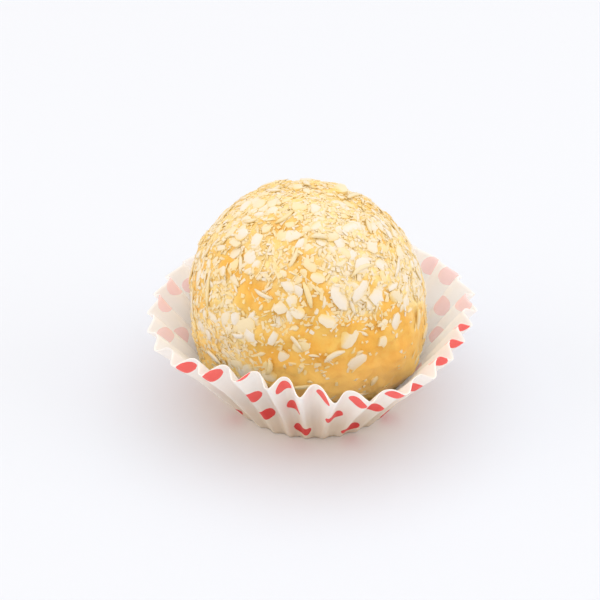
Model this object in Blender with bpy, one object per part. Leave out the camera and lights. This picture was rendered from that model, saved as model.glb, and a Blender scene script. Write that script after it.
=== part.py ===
"""Coconut fudge ball resting in a fluted paper sweet case: two closed solids, in metres.

The origin is the centre of the case's flat base, on the surface it stands on. +Z is up, and -Y is
the front, where the wall of the case stands steepest. Angles go round +Z from +X, in degrees.
"""

import math

import bmesh
import bpy
import numpy as np
from mathutils import Matrix, Vector

# Driving dimensions of the paper case
BASE_RADIUS = 0.0120
WALL_LENGTH = 0.0200
PAPER = 0.0003
RIM_RADIUS = 0.0239
FLUTES = 30
FLUTE_DEPTH = 0.00110
BASE_FLUTE_DEPTH = 0.00025
WALL_FLARE = 0.08
FIRST_FOLD = 282.5
FOLD_FADE = 0.8
CREST_BREADTH = 0.16
SIDES_PER_FLUTE = 6
WALL_BANDS = 3
NORMAL_STEP = 0.001
CORRECTIONS = 12

# How the rim strays from a circle: waves round it, as (waves, height, angle of one crest)
RIM_WAVES = (
    (1, 0.0004, 199.0),
    (2, 0.0007, 152.0),
    (4, 0.0009, 24.0),
)

# How the folds crowd and how their depth changes round the case: (waves, height, phase in radians)
CROWDING_WAVES = (
    (2, 0.55, 0.6),
    (5, 0.40, 2.1),
)
DEPTH_WAVES = (
    (3, 0.16, 1.0),
    (7, 0.12, 0.0),
)

# Driving dimensions of the fudge ball, and where it has settled fuller, as (degrees round, degrees up)
BALL_RADIUS = 0.0176
BALL_OFFSET = (-0.0009, 0.00025)
BALL_BULGE = 0.05
BULGE_AXIS = (-0.71, 0.44, 0.55)
FLAT_FOOT = 0.0006
GAP = 0.00035
CUBE_CUTS = 19
SHOULDERS = ((206.0, -24.0), (334.0, -24.0))
SHOULDER_FULLNESS = 0.09
SHOULDER_SPREAD = 0.055
LUMP_HEIGHT = 0.00010
LUMP_LENGTH = 0.0110
LUMP_SEED = 3
CRUMB_HEIGHT = 0.00016
CRUMB_LENGTH = 0.0042
CRUMB_SEED = 5
RELIEF_WAVES = 32

# The coconut coating: where it lies, and its bare patch at the lower right
GOLDEN_ANGLE = math.pi * (3.0 - math.sqrt(5.0))
STRAY = 0.35
LOWEST_COATING = 142.0
BARE_PATCH = (0.81, -0.55, -0.20)
BARE_PATCH_COSINE = 0.90
BARE_PATCH_KEEPS = 0.2

# Flakes, the larger ones of the front as (degrees round, degrees up, length, width, degrees turned)
FRONT_FLAKES = (
    (210.0, 52.0, 0.0027, 0.0020, 10.0),
    (257.0, 37.0, 0.0028, 0.0017, 150.0),
    (287.0, 31.0, 0.0042, 0.0029, 115.0),
    (301.0, 31.0, 0.0036, 0.0020, 40.0),
    (240.0, 16.0, 0.0031, 0.0021, 85.0),
    (231.0, 15.0, 0.0025, 0.0017, 100.0),
    (317.0, 10.0, 0.0027, 0.0023, 60.0),
    (294.0, -4.0, 0.0032, 0.0028, 30.0),
    (205.0, -3.0, 0.0036, 0.0026, 15.0),
    (323.0, 38.0, 0.0029, 0.0022, 140.0),
    (299.0, 57.0, 0.0026, 0.0020, 75.0),
    (308.0, 42.0, 0.0028, 0.0022, 5.0),
)
FRONT_FLAKE_TIP = 0.10
FLAKES = 30
FLAKE_SEED = 7
FLAKE_FIRST_TURN = 0.4
FLAKE_LENGTHS = (0.0020, 0.0036)
FLAKE_WIDTHS = (0.55, 1.0)
FLAKE_REACHES = (0.75, 1.2)
FLAKE_DEPTH = 0.00050
FLAKE_HEIGHT = 0.00032
FLAKE_TAPER = 0.88
FLAKE_SIDES = 6
FLAKE_TILT = 0.20
FLAKE_RAISE = 0.00020

# Shreds: grated strips, arched to follow the ball
SHREDS = 74
SHRED_SEED = 8
SHRED_FIRST_TURN = 1.7
SHRED_LENGTHS = (0.0022, 0.0047)
SHRED_WIDTHS = (0.00065, 0.00110)
SHRED_THICKNESS = 0.00065
SHRED_ARCHES = (0.9, 1.4)
SHRED_SWAYS = (-0.12, 0.12)
SHRED_TAPER = 0.35
SHRED_TOP = 0.8
SHRED_SEGMENTS = 2
SHRED_TILT = 0.10
SHRED_RAISE = 0.00022


def clear_scene():
    """Removes every object that the file starts with."""
    for item in list(bpy.data.objects):
        bpy.data.objects.remove(item, do_unlink=True)


def make_material(name, colour, roughness):
    """A Principled material with one colour, for a matt food or paper surface."""
    material = bpy.data.materials.new(name)
    material.use_nodes = True
    shader = material.node_tree.nodes["Principled BSDF"]
    shader.inputs["Base Color"].default_value = (*colour, 1.0)
    shader.inputs["Roughness"].default_value = roughness
    shader.inputs["Metallic"].default_value = 0.0
    return material


def add_object(name, mesh, material):
    """Links a mesh to the scene as a named object with its material."""
    mesh.materials.append(material)
    item = bpy.data.objects.new(name, mesh)
    bpy.context.scene.collection.objects.link(item)
    return item


# Paper case


def rim_radius(angle):
    """Distance of the rim from the centre line at this angle, in radians."""
    radius = RIM_RADIUS
    for waves, height, crest in RIM_WAVES:
        radius += height * math.cos(waves * (angle - math.radians(crest)))
    return radius


def sum_of_waves(waves_round, angle):
    """Sum of sine waves round the case at this angle, each as (waves, height, phase)."""
    return sum(height * math.sin(waves * angle + phase) for waves, height, phase in waves_round)


def fold_turn(angle):
    """Turn of the folds up to this angle, in radians: a whole circle for each flute."""
    return FLUTES * (angle - math.radians(FIRST_FOLD)) + sum_of_waves(CROWDING_WAVES, angle)


def angle_at_turn(turn):
    """Angle where the folds have this turn, closed in on by repeated correction."""
    angle = turn / FLUTES + math.radians(FIRST_FOLD)
    for _ in range(CORRECTIONS):
        angle += (turn - fold_turn(angle)) / FLUTES
    return angle


def fold_wave(angle):
    """Place in the fold, from +1 on an inward crest to -1 in an outward valley, crests the broader."""
    turn = fold_turn(angle)
    return (math.cos(turn) - CREST_BREADTH * math.cos(2.0 * turn)) / (1.0 + CREST_BREADTH / 2.0)


def fold_depth(angle):
    """Half height of the folds at the rim, deeper where the rim is drawn in and uneven all round."""
    uneven = 1.0 + sum_of_waves(DEPTH_WAVES, angle)
    return FLUTE_DEPTH * uneven * RIM_RADIUS / rim_radius(angle)


def wall_point(angle, share):
    """Point on the inside of the wall, share of the way from the base edge to the rim."""
    lean = math.acos((rim_radius(angle) - BASE_RADIUS) / WALL_LENGTH)
    bow = WALL_FLARE * (share - share * share)
    radius = BASE_RADIUS + WALL_LENGTH * (math.cos(lean) * share - math.sin(lean) * bow)
    height = PAPER + WALL_LENGTH * (math.sin(lean) * share + math.cos(lean) * bow)
    wave = fold_wave(angle)
    depth = fold_depth(angle) * share**FOLD_FADE * wave
    radius -= math.sin(lean) * depth + BASE_FLUTE_DEPTH * (1.0 - share) * wave
    height += math.cos(lean) * depth
    return Vector((radius * math.cos(angle), radius * math.sin(angle), height))


def outer_wall_point(angle, share):
    """Point on the outside of the wall, one paper thickness from the inside along the wall's normal."""
    point = wall_point(angle, share)
    if share == 0.0:
        return point + Vector((math.cos(angle), math.sin(angle), -2.0)) * PAPER / 2.0
    round_wall = wall_point(angle + NORMAL_STEP, share) - wall_point(angle - NORMAL_STEP, share)
    up_wall = wall_point(angle, share + NORMAL_STEP) - wall_point(angle, share - NORMAL_STEP)
    return point + up_wall.cross(round_wall).normalized() * -PAPER


def make_paper_case(material):
    """Fluted case: a flat round base and a pleated wall, with an outside, an inside and a cut rim."""
    form = bmesh.new()
    count = FLUTES * SIDES_PER_FLUTE
    angles = [angle_at_turn(2.0 * math.pi * i / SIDES_PER_FLUTE) for i in range(count)]
    shares = [band / WALL_BANDS for band in range(WALL_BANDS + 1)]
    outside = [[form.verts.new(outer_wall_point(angle, share)) for angle in angles] for share in shares]
    inside = [[form.verts.new(wall_point(angle, share)) for angle in angles] for share in shares]
    rings = list(reversed(outside)) + [[form.verts.new((0.0, 0.0, 0.0))]]
    rings += [[form.verts.new((0.0, 0.0, PAPER))]] + inside
    for near, far in zip(rings, rings[1:] + rings[:1]):
        join_rings(form, near, far)
    bmesh.ops.triangulate(form, faces=form.faces[:])
    bmesh.ops.recalc_face_normals(form, faces=form.faces[:])
    mesh = bpy.data.meshes.new("paper_case")
    form.to_mesh(mesh)
    form.free()
    return add_object("paper_case", mesh, material)


def join_rings(form, near, far):
    """Faces between two rings of points, where a ring of one point is the middle of the base."""
    count = max(len(near), len(far))
    if len(near) == len(far) == 1:
        return
    for i in range(count):
        after = (i + 1) % count
        if len(far) == 1:
            form.faces.new((near[i], near[after], far[0]))
        elif len(near) == 1:
            form.faces.new((near[0], far[after], far[i]))
        else:
            form.faces.new((near[i], near[after], far[after], far[i]))


# Fudge ball


def ball_centre():
    """Middle of the ball, which stands a gap above the paper on its flat foot."""
    return Vector((*BALL_OFFSET, PAPER + GAP + BALL_RADIUS - FLAT_FOOT))


def random_waves(length, seed):
    """Plane waves of one length in random directions, as their turning per metre and their phases."""
    draw = np.random.RandomState(seed)
    directions = draw.normal(size=(RELIEF_WAVES, 3))
    directions /= np.linalg.norm(directions, axis=1, keepdims=True)
    return directions * 2.0 * math.pi / length, draw.uniform(0.0, 2.0 * math.pi, RELIEF_WAVES)


LUMP_WAVES = random_waves(LUMP_LENGTH, LUMP_SEED)
CRUMB_WAVES = random_waves(CRUMB_LENGTH, CRUMB_SEED)


def relief(waves, point):
    """Relief at this point, mostly between -2 and 2: the sum of the waves, scaled to a spread of 1."""
    turning, phases = waves
    return math.sqrt(2.0 / RELIEF_WAVES) * float(np.cos(turning @ np.array(point) + phases).sum())


def settled_share(direction):
    """How far the ball stands out in this direction where it has settled, as bell curves of the angle."""
    nearness = [direction.dot(direction_at(*shoulder)) - 1.0 for shoulder in SHOULDERS]
    return SHOULDER_FULLNESS * sum(math.exp(near / SHOULDER_SPREAD) for near in nearness)


def ball_radius(direction):
    """Radius of the bare fudge in this direction: a leaning bulge, full shoulders, lumps and crumbs."""
    bulge = BALL_BULGE * (direction.dot(Vector(BULGE_AXIS).normalized()) ** 2 - 1.0 / 3.0)
    point = direction * BALL_RADIUS
    lumps = LUMP_HEIGHT * relief(LUMP_WAVES, point)
    crumbs = CRUMB_HEIGHT * relief(CRUMB_WAVES, point)
    return BALL_RADIUS * (1.0 + bulge + settled_share(direction)) + lumps + crumbs


def ball_point(direction):
    """Point on the bare fudge, cut off flat where it rests."""
    point = ball_centre() + direction * ball_radius(direction)
    point.z = max(point.z, PAPER + GAP)
    return point


def spread_cube_side(value):
    """Moves a cube's grid line so that its squares come out even on the ball."""
    return math.tan(value * math.pi / 4.0)


def make_bare_ball(material):
    """The fudge without its coating: a cube's even grid blown up to the ball's form."""
    form = bmesh.new()
    bmesh.ops.create_cube(form, size=2.0)
    bmesh.ops.subdivide_edges(form, edges=form.edges[:], cuts=CUBE_CUTS, use_grid_fill=True)
    for vertex in form.verts:
        grid = Vector([spread_cube_side(value) for value in vertex.co])
        vertex.co = ball_point(grid.normalized())
    bmesh.ops.triangulate(form, faces=form.faces[:])
    bmesh.ops.recalc_face_normals(form, faces=form.faces[:])
    mesh = bpy.data.meshes.new("fudge_ball")
    form.to_mesh(mesh)
    form.free()
    return add_object("fudge_ball", mesh, material)


# Coconut coating


def blend(limits, share):
    """Value this share of the way from the lower limit to the upper one."""
    return limits[0] + (limits[1] - limits[0]) * share


def even_directions(count, first_turn, draw):
    """Directions spread evenly over the ball by the golden angle, each moved a little at random."""
    lowest = math.cos(math.radians(LOWEST_COATING))
    order = np.arange(count)
    height = 1.0 - (1.0 - lowest) * (order + 0.5) / count
    turn = first_turn + GOLDEN_ANGLE * order
    flat = np.sqrt(1.0 - height * height)
    even = np.stack((flat * np.cos(turn), flat * np.sin(turn), height), axis=1)
    strayed = even + draw.normal(0.0, STRAY / math.sqrt(count), (count, 3))
    return [Vector(row).normalized() for row in strayed]


def direction_at(degrees_round, degrees_up):
    """Direction this far round from +X and this far up from level."""
    azimuth = math.radians(degrees_round)
    height = math.radians(degrees_up)
    level = math.cos(height)
    return Vector((level * math.cos(azimuth), level * math.sin(azimuth), math.sin(height)))


def seat(direction, turn, tip, height):
    """Placement of a piece on the ball: its XY plane laid level, turned, tipped and raised."""
    east = Vector((-direction.y, direction.x, 0.0)).normalized()
    north = direction.cross(east)
    upright = Matrix((east, north, direction)).transposed().to_4x4()
    spin = Matrix.Rotation(turn, 4, "Z")
    tilt = Matrix.Rotation(tip, 4, "X")
    return Matrix.Translation(ball_point(direction) + direction * height) @ upright @ spin @ tilt


def keeps_coating(direction, chance):
    """True where coconut sticks: most of the bare patch at the lower right has none."""
    near = direction.dot(Vector(BARE_PATCH).normalized())
    return near < BARE_PATCH_COSINE or chance < BARE_PATCH_KEEPS


def make_flake(length, width, shares):
    """A flat broken flake of coconut, a share for each corner setting how far out it stands."""
    form = bmesh.new()
    low = []
    high = []
    for i, share in enumerate(shares):
        angle = 2.0 * math.pi * i / len(shares)
        reach = blend(FLAKE_REACHES, share)
        x = length / 2.0 * reach * math.cos(angle)
        y = width / 2.0 * reach * math.sin(angle)
        low.append(form.verts.new((x, y, -FLAKE_DEPTH)))
        high.append(form.verts.new((x * FLAKE_TAPER, y * FLAKE_TAPER, FLAKE_HEIGHT)))
    form.faces.new(list(reversed(low)))
    form.faces.new(high)
    bridge(form, low, high)
    return form


def shred_section(form, x, y, z, width):
    """Four corners of a shred across its length, the upper side the narrower."""
    corners = (
        (y - width / 2.0, z - SHRED_THICKNESS / 2.0),
        (y + width / 2.0, z - SHRED_THICKNESS / 2.0),
        (y + width / 2.0 * SHRED_TOP, z + SHRED_THICKNESS / 2.0),
        (y - width / 2.0 * SHRED_TOP, z + SHRED_THICKNESS / 2.0),
    )
    return [form.verts.new((x, across, up)) for across, up in corners]


def make_shred(shares):
    """A grated strip of coconut, the shares setting its length, width, arch and sway."""
    length = blend(SHRED_LENGTHS, shares[0])
    width = blend(SHRED_WIDTHS, shares[1])
    arch = blend(SHRED_ARCHES, shares[2]) * length * length / (8.0 * BALL_RADIUS)
    sway = blend(SHRED_SWAYS, shares[3]) * length
    form = bmesh.new()
    sections = []
    for i in range(SHRED_SEGMENTS + 1):
        share = 2.0 * i / SHRED_SEGMENTS - 1.0
        from_middle = share * share
        narrowed = width * (1.0 - SHRED_TAPER * from_middle)
        x = share * length / 2.0
        sections.append(shred_section(form, x, sway * from_middle, -arch * from_middle, narrowed))
    form.faces.new(sections[0])
    form.faces.new(list(reversed(sections[-1])))
    for near, far in zip(sections, sections[1:]):
        bridge(form, near, far)
    return form


def bridge(form, near, far):
    """Faces all round between two outlines with the same number of points."""
    for i in range(len(near)):
        after = (i + 1) % len(near)
        form.faces.new((near[i], near[after], far[after], far[i]))


def place(name, form, placement):
    """The bmesh as an object of its own, put in its place on the ball."""
    form.transform(placement)
    bmesh.ops.triangulate(form, faces=form.faces[:])
    bmesh.ops.recalc_face_normals(form, faces=form.faces[:])
    mesh = bpy.data.meshes.new(name)
    form.to_mesh(mesh)
    form.free()
    return bpy.data.objects.new(name, mesh)


def make_front_flakes():
    """The larger flakes of the front, each at its own place."""
    corners = np.random.RandomState(FLAKE_SEED).uniform(0.0, 1.0, (len(FRONT_FLAKES), FLAKE_SIDES))
    pieces = []
    for number, (around, up, length, width, turn) in enumerate(FRONT_FLAKES):
        placement = seat(direction_at(around, up), math.radians(turn), FRONT_FLAKE_TIP, FLAKE_RAISE)
        pieces.append(place(f"front_flake_{number}", make_flake(length, width, corners[number]), placement))
    return pieces


def make_flakes():
    """The other flakes, spread all over the ball."""
    draw = np.random.RandomState(FLAKE_SEED + 1)
    directions = even_directions(FLAKES, FLAKE_FIRST_TURN, draw)
    turns = draw.uniform(0.0, 2.0 * math.pi, FLAKES)
    tips = draw.normal(0.0, FLAKE_TILT, FLAKES)
    chances = draw.uniform(0.0, 1.0, FLAKES)
    shares = draw.uniform(0.0, 1.0, (FLAKES, 2 + FLAKE_SIDES))
    pieces = []
    for i in range(FLAKES):
        if keeps_coating(directions[i], chances[i]):
            length = blend(FLAKE_LENGTHS, shares[i][0])
            form = make_flake(length, length * blend(FLAKE_WIDTHS, shares[i][1]), shares[i][2:])
            pieces.append(place(f"flake_{i}", form, seat(directions[i], turns[i], tips[i], FLAKE_RAISE)))
    return pieces


def make_shreds():
    """The shreds, spread all over the ball."""
    draw = np.random.RandomState(SHRED_SEED)
    directions = even_directions(SHREDS, SHRED_FIRST_TURN, draw)
    turns = draw.uniform(0.0, 2.0 * math.pi, SHREDS)
    tips = draw.normal(0.0, SHRED_TILT, SHREDS)
    chances = draw.uniform(0.0, 1.0, SHREDS)
    shares = draw.uniform(0.0, 1.0, (SHREDS, 4))
    pieces = []
    for i in range(SHREDS):
        if keeps_coating(directions[i], chances[i]):
            placement = seat(directions[i], turns[i], tips[i], SHRED_RAISE)
            pieces.append(place(f"shred_{i}", make_shred(shares[i]), placement))
    return pieces


def make_coating():
    """Every flake and shred of the coating, largest first, in a collection of their own."""
    coating = bpy.data.collections.new("coating")
    bpy.context.scene.collection.children.link(coating)
    for piece in make_front_flakes() + make_flakes() + make_shreds():
        coating.objects.link(piece)
    return coating


def keep_largest_shell(mesh):
    """Drops loose scraps and fills sealed hollows: only the shell with the most points stays."""
    form = bmesh.new()
    form.from_mesh(mesh)
    waiting = set(form.verts)
    shells = []
    while waiting:
        edge = [waiting.pop()]
        shell = list(edge)
        while edge:
            vertex = edge.pop()
            for link in vertex.link_edges:
                other = link.other_vert(vertex)
                if other in waiting:
                    waiting.remove(other)
                    edge.append(other)
                    shell.append(other)
        shells.append(shell)
    shells.sort(key=len)
    for shell in shells[:-1]:
        bmesh.ops.delete(form, geom=shell, context="VERTS")
    form.to_mesh(mesh)
    form.free()


def fuse(ball, coating):
    """Joins the coating to the ball with one Boolean union, then removes the loose pieces."""
    union = ball.modifiers.new("coating", "BOOLEAN")
    union.operation = "UNION"
    union.operand_type = "COLLECTION"
    union.collection = coating
    union.solver = "EXACT"
    union.use_self = True
    bpy.context.view_layer.update()
    graph = bpy.context.evaluated_depsgraph_get()
    fused = bpy.data.meshes.new_from_object(ball.evaluated_get(graph))
    ball.modifiers.clear()
    bare = ball.data
    ball.data = fused
    bpy.data.meshes.remove(bare)
    for piece in list(coating.objects):
        loose = piece.data
        bpy.data.objects.remove(piece, do_unlink=True)
        bpy.data.meshes.remove(loose)
    bpy.data.collections.remove(coating)
    keep_largest_shell(fused)
    fused.name = "fudge_ball"


def main():
    """Builds the paper case, then the coated ball in it."""
    clear_scene()
    paper = make_material("white paper with coral dots", (0.86, 0.80, 0.76), 0.75)
    fudge = make_material("coconut fudge", (0.83, 0.61, 0.28), 0.55)
    make_paper_case(paper)
    ball = make_bare_ball(fudge)
    fuse(ball, make_coating())


main()
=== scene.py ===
"""Looks of a coconut fudge ball in a dotted paper sweet case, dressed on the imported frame.

Metres, +Z up, -Y the front. The ball of fudge, the three kinds of coconut that coat it and the
folded paper case are surfaces worked out with numpy. They follow the same rules of form as the
solids of the frame, carried on to a finer scale.
"""

import logging
import math
from collections.abc import Callable
from dataclasses import dataclass, fields
from enum import Enum

import bpy
import numpy as np
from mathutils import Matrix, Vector


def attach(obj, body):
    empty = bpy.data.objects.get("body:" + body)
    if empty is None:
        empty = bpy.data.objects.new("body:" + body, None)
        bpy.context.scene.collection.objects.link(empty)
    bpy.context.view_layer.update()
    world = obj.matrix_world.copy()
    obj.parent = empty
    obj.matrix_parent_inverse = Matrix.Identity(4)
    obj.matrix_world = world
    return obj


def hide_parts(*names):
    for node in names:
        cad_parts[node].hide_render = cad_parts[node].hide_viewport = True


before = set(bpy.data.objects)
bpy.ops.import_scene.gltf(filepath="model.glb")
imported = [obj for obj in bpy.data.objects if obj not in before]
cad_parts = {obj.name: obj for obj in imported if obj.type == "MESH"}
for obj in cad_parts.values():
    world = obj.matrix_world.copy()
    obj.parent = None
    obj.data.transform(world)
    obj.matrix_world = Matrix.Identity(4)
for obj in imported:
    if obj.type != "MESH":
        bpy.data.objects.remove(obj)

LOG = logging.getLogger("coconut_fudge")
BODY = "root"
FULL_TURN = 2.0 * math.pi
GOLDEN_ANGLE = math.pi * (3.0 - math.sqrt(5.0))
EDGE_ANGLE = math.radians(38.0)

Pair = tuple[float, float]
Triple = tuple[float, float, float]
RoundWaves = tuple[tuple[int, float, float], ...]
Tones = tuple[int, float, float]
Array = np.ndarray
Form = tuple[Array, list[Array]]
Mesh = bpy.types.Mesh
Piece = bpy.types.Object
Material = bpy.types.Material
Socket = bpy.types.NodeSocket
Value = Socket | float | tuple[float, ...]


class Node(Enum):
    """Solids of the frame that the dressed pieces stand for."""

    BALL = "fudge_ball"
    CASE = "paper_case"


class Slot(Enum):
    """Material slots of the record."""

    FUDGE = "coconut_fudge"
    PAPER = "dotted_paper"


class Shading(Enum):
    """How the faces of a piece meet: softly all over, or with an edge where they turn sharply."""

    SOFT = "soft"
    EDGED = "edged"


class Reckoning(Enum):
    """What a material works out from two numbers."""

    TIMES = "MULTIPLY"
    LESS = "SUBTRACT"


# Helpers for numbers, directions and meshes


@dataclass(frozen=True)
class Span:
    """Values from low to high. A lean above 1 gives more of them near the low end."""

    low: float
    high: float
    lean: float = 1.0

    def at(self, share: Array) -> Array:
        """Low, plus the span times each share to the power of the lean."""
        return self.low + (self.high - self.low) * share**self.lean


@dataclass(frozen=True)
class Waves:
    """Relief made of plane waves of one length that run in random directions."""

    length: float
    seed: int
    count: int = 32

    def height(self, points: Array) -> Array:
        """Relief at each point: the sum of cosines of (turning along the wave, plus a phase).

        Args:
            points: Places in metres.

        Returns:
            One number for each, mostly between -2 and 2, with a spread of 1.
        """
        draw = np.random.RandomState(self.seed)
        turning = unit(draw.normal(size=(self.count, 3))) * FULL_TURN / self.length
        phases = draw.uniform(0.0, FULL_TURN, self.count)
        total = sum(np.cos(points @ wave + phase) for wave, phase in zip(turning, phases))
        return math.sqrt(2.0 / self.count) * total


def unit(vectors: Array) -> Array:
    """Each row of an array of vectors, brought to length 1."""
    return vectors / np.linalg.norm(vectors, axis=-1, keepdims=True)


def smooth_step(low: float, high: float, value: Array) -> Array:
    """S-curve from 0 to 1: the share of the way squared, times 3 less twice the share."""
    share = np.clip((value - low) / (high - low), 0.0, 1.0)
    return share * share * (3.0 - 2.0 * share)


def places_round(radius: Array, angle: Array, *height: Array) -> Array:
    """Places at a radius and an angle round +Z, with a height where one is given."""
    return np.stack((radius * np.cos(angle), radius * np.sin(angle), *height), axis=-1)


def direction_at(degrees_round: float, degrees_up: float) -> Array:
    """Unit vector this far round from +X and this far up from level."""
    up = math.radians(degrees_up)
    return places_round(math.cos(up), math.radians(degrees_round), math.sin(up))


def band_faces(rings: int, columns: int) -> Array:
    """Four-sided faces between closed rings whose vertices are numbered ring by ring.

    Args:
        rings: Number of rings.
        columns: Number of vertices in a ring.

    Returns:
        The faces, one to a row.
    """
    ring, column = np.meshgrid(np.arange(rings - 1), np.arange(columns), indexing="ij")
    here = ring * columns
    below = here + columns
    after = (column + 1) % columns
    corners = (here + column, below + column, below + after, here + after)
    return np.stack(corners, axis=-1).reshape(-1, 4)


def ring_faces(rings: int, columns: int) -> list[Array]:
    """Faces of a closed surface of rings, stacked from its top pole down to its bottom one.

    The vertices are numbered ring by ring, then the top pole, then the bottom pole.

    Args:
        rings: Number of rings.
        columns: Number of vertices in a ring.

    Returns:
        The four-sided faces between rings, and the triangles at the two poles.
    """
    column = np.arange(columns)
    after = (column + 1) % columns
    pole = rings * columns
    last = pole - columns
    top = np.stack((np.full(columns, pole), column, after), axis=-1)
    bottom = np.stack((np.full(columns, pole + 1), last + after, last + column), axis=-1)
    return [band_faces(rings, columns), np.concatenate((top, bottom))]


def build_mesh(name: str, points: Array, faces: list[Array], shading: Shading) -> Mesh:
    """Puts whole arrays of points and faces into a new mesh.

    Args:
        name: Name of the mesh.
        points: Places of the vertices, one to a row.
        faces: Arrays of vertex numbers, one for each number of corners.
        shading: How the faces meet.

    Returns:
        The mesh.
    """
    mesh = bpy.data.meshes.new(name)
    corners = np.concatenate([group.ravel() for group in faces])
    sizes = np.concatenate([np.full(len(group), group.shape[1]) for group in faces])
    starts = np.concatenate([[0], np.cumsum(sizes)[:-1]])
    mesh.vertices.add(len(points))
    mesh.vertices.foreach_set("co", points.astype(np.float32).ravel())
    mesh.loops.add(len(corners))
    mesh.loops.foreach_set("vertex_index", corners.astype(np.int32))
    mesh.polygons.add(len(sizes))
    mesh.polygons.foreach_set("loop_start", starts.astype(np.int32))
    mesh.update(calc_edges=True)
    mesh.validate()
    mesh.shade_smooth()
    if shading is Shading.EDGED:
        mesh.set_sharp_from_angle(angle=EDGE_ANGLE)
    return mesh


def add_attribute(mesh: Mesh, name: str, values: Array) -> None:
    """Stores one number for each vertex of a mesh under a name that its material reads."""
    attribute = mesh.attributes.new(name, "FLOAT", "POINT")
    attribute.data.foreach_set("value", values.astype(np.float32))


def add_piece(mesh: Mesh, material: Material, node: Node) -> Piece:
    """Links a mesh as a finished piece that rides on the frame and stands for one of its solids.

    Args:
        mesh: The mesh, in place.
        material: Its finish.
        node: The solid.

    Returns:
        The piece.
    """
    mesh.materials.append(material)
    piece = bpy.data.objects.new(mesh.name, mesh)
    bpy.context.scene.collection.objects.link(piece)
    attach(piece, BODY)
    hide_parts(node.value)
    return piece


# Finishes


@dataclass(frozen=True)
class Cloud:
    """Cloudy noise: its size and finer layers, and what its numbers at two ends become."""

    size: float
    layers: float
    ends: Pair = (0.0, 1.0)
    results: Pair = (0.0, 1.0)


class Recipe:
    """A Principled material under construction, with short calls for the nodes that it needs."""

    def __init__(self, name: str) -> None:
        """Starts a material with its Principled shader.

        Args:
            name: Name of the material.
        """
        self.material = bpy.data.materials.new(name)
        self.material.use_nodes = True
        self.tree = self.material.node_tree
        self.shader = self.tree.nodes["Principled BSDF"]

    def put(self, target: Socket, value: Value) -> None:
        """Joins a socket to another one, or sets it to a value.

        Args:
            target: The socket.
            value: What it is joined or set to.
        """
        if isinstance(value, Socket):
            self.tree.links.new(value, target)
        else:
            target.default_value = value

    def node(
        self, kind: str, inputs: dict[str | int, Value] | None = None, **settings: str
    ) -> bpy.types.Node:
        """Adds a node.

        Args:
            kind: Its kind.
            inputs: What its inputs, by name or number, are joined or set to.
            **settings: Its settings.

        Returns:
            The node.
        """
        node = self.tree.nodes.new("ShaderNode" + kind)
        for name, value in settings.items():
            setattr(node, name, value)
        for name, value in (inputs or {}).items():
            self.put(node.inputs[name], value)
        return node

    def set(self, **values: Value) -> None:
        """Joins or sets sockets of the shader, named with underscores for spaces."""
        for name, value in values.items():
            self.put(self.shader.inputs[name.replace("_", " ")], value)

    def place(self) -> Socket:
        """Place on the piece, in metres."""
        return self.node("TexCoord").outputs["Object"]

    def height(self) -> Socket:
        """Height of the place on the piece, in metres."""
        return self.node("SeparateXYZ", {"Vector": self.place()}).outputs["Z"]

    def attribute(self, name: str) -> Socket:
        """A number stored on the piece's vertices."""
        return self.node("Attribute", attribute_name=name).outputs["Fac"]

    def noise(self, cloud: Cloud) -> Socket:
        """Cloudy noise by the place on the piece, from 0 to 1."""
        inputs = {"Vector": self.place(), "Scale": 1.0 / cloud.size, "Detail": cloud.layers}
        return self.node("TexNoise", inputs).outputs["Fac"]

    def clouds(self, cloud: Cloud) -> Socket:
        """Cloudy noise, mapped as it says."""
        return self.spread(self.noise(cloud), cloud.ends, cloud.results)

    def spread(self, source: Socket, ends: Pair, results: Pair = (0.0, 1.0)) -> Socket:
        """Maps the range of a number between two ends to another range, held at its ends."""
        names = ("Value", "From Min", "From Max", "To Min", "To Max")
        return self.node("MapRange", dict(zip(names, (source, *ends, *results)))).outputs["Result"]

    def combine(self, first: Socket, reckoning: Reckoning, second: Socket) -> Socket:
        """One step of arithmetic with two numbers."""
        node = self.node("Math", {0: first, 1: second}, operation=reckoning.value)
        return node.outputs["Value"]

    def mix(self, share: Socket, first: Socket | Triple, second: Socket | Triple) -> Socket:
        """Colour on the way from one colour to another.

        Args:
            share: How far on the way.
            first: Colour at share 0.
            second: Colour at share 1.

        Returns:
            The mixed colour.
        """
        node = self.node("Mix", {"Factor": share}, data_type="RGBA")
        for name, colour in (("A", first), ("B", second)):
            target = [s for s in node.inputs if s.name == name and s.type == "RGBA"][0]
            self.put(target, (*colour, 1.0) if isinstance(colour, tuple) else colour)
        return [s for s in node.outputs if s.type == "RGBA"][0]

    def bump(self, height: Socket, depth: float) -> None:
        """Makes the light take the surface as raised by a number, by this depth in metres."""
        node = self.node("Bump", {"Height": height, "Distance": depth})
        self.set(Normal=node.outputs["Normal"])


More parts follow.
